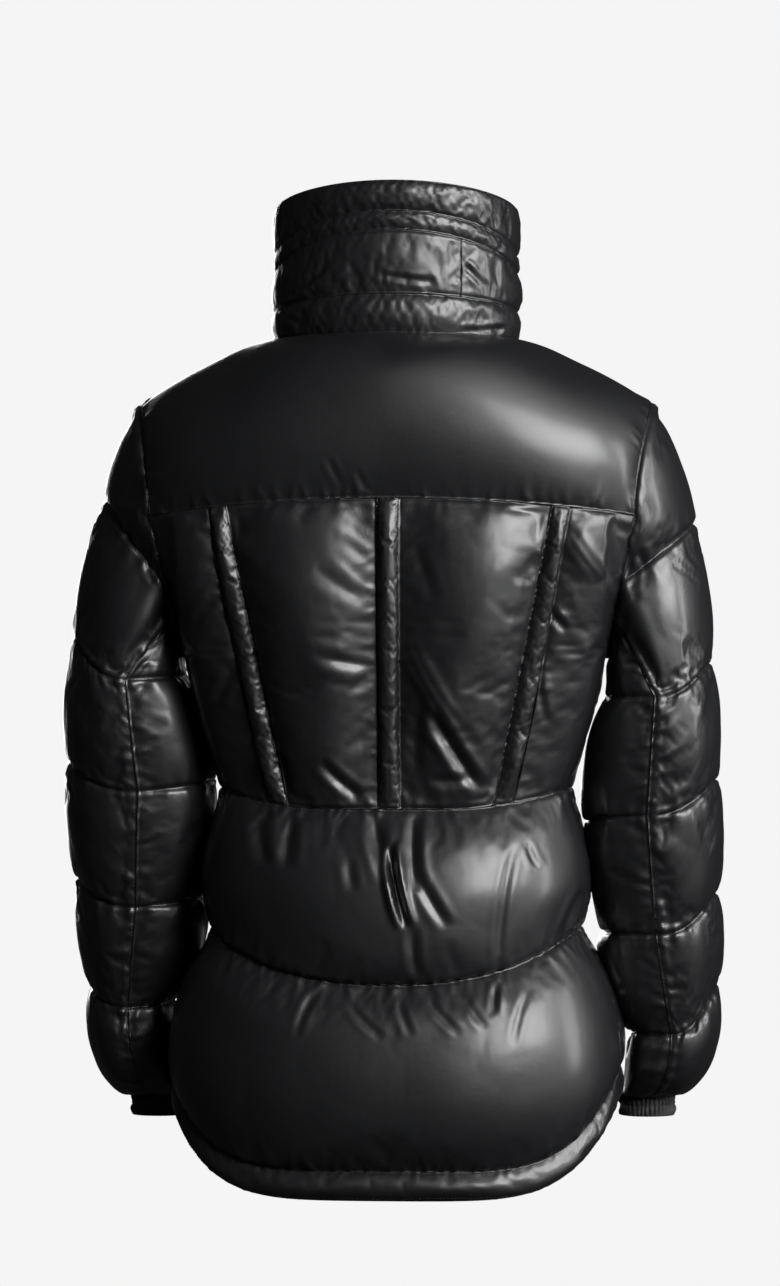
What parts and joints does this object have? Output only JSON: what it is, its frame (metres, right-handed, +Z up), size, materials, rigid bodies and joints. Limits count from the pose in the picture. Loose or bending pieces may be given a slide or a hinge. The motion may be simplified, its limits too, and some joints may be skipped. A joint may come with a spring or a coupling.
{
  "type": "puffer jacket",
  "caption": "Hip-length padded jacket with a tall funnel collar, quilted sleeves, drawn-in waist and rounded shirt-tail hem, hollow as worn.",
  "frame": {"origin": "middle of the neck, level with the collar's base seam at the back, where the wearer's neck and shoulders hold the jacket up", "axes": "+Z up, the back faces +Y, the zip faces -Y, +X is the wearer's left"},
  "size_m": [0.5725, 0.266, 0.8596],
  "materials": {
    "nylon": "glossy, finely woven nylon over light padding",
    "channel_nylon": "glossy nylon drawn over boning",
    "cuff_elastic": "dull gathered elastic",
    "zip_tape": "dull woven tape",
    "zip_metal": "satin black enamel"
  },
  "bodies": {
    "jacket": {"back_yoke": "nylon", "back_side_left": "nylon", "back_side_right": "nylon", "back_centre_left": "nylon", "back_centre_right": "nylon", "back_channel_left": "channel_nylon", "back_channel_centre": "channel_nylon", "back_channel_right": "channel_nylon", "back_waist_band": "nylon", "back_lower_band": "nylon", "back_hem_band": "nylon", "front_yoke_left": "nylon", "front_yoke_right": "nylon", "front_chest_left": "nylon", "front_chest_right": "nylon", "front_waist_band_left": "nylon", "front_waist_band_right": "nylon", "front_lower_band_left": "nylon", "front_lower_band_right": "nylon", "front_hem_band_left": "nylon", "front_hem_band_right": "nylon", "collar_base_band": "nylon", "collar_middle_band_left": "nylon", "collar_middle_band_right": "nylon", "collar_strip": "nylon", "collar_top_band": "nylon", "sleeve_outer_left": "nylon", "sleeve_under_left": "nylon", "sleeve_outer_right": "nylon", "sleeve_under_right": "nylon", "cuff_left": "cuff_elastic", "cuff_right": "cuff_elastic", "zip_tape_left": "zip_tape", "zip_tape_right": "zip_tape", "zip_slider": "zip_metal"},
    "pull_tab": {"zip_pull_tab": "zip_metal"}
  },
  "joints": [
    {"name": "pull_tab_swing", "type": "hinge", "parent": "jacket", "child": "pull_tab", "pos_m": [0, -0.08555, 0.08], "axis": [-1, 0, 0], "range_deg": [0, 165]}
  ]
}
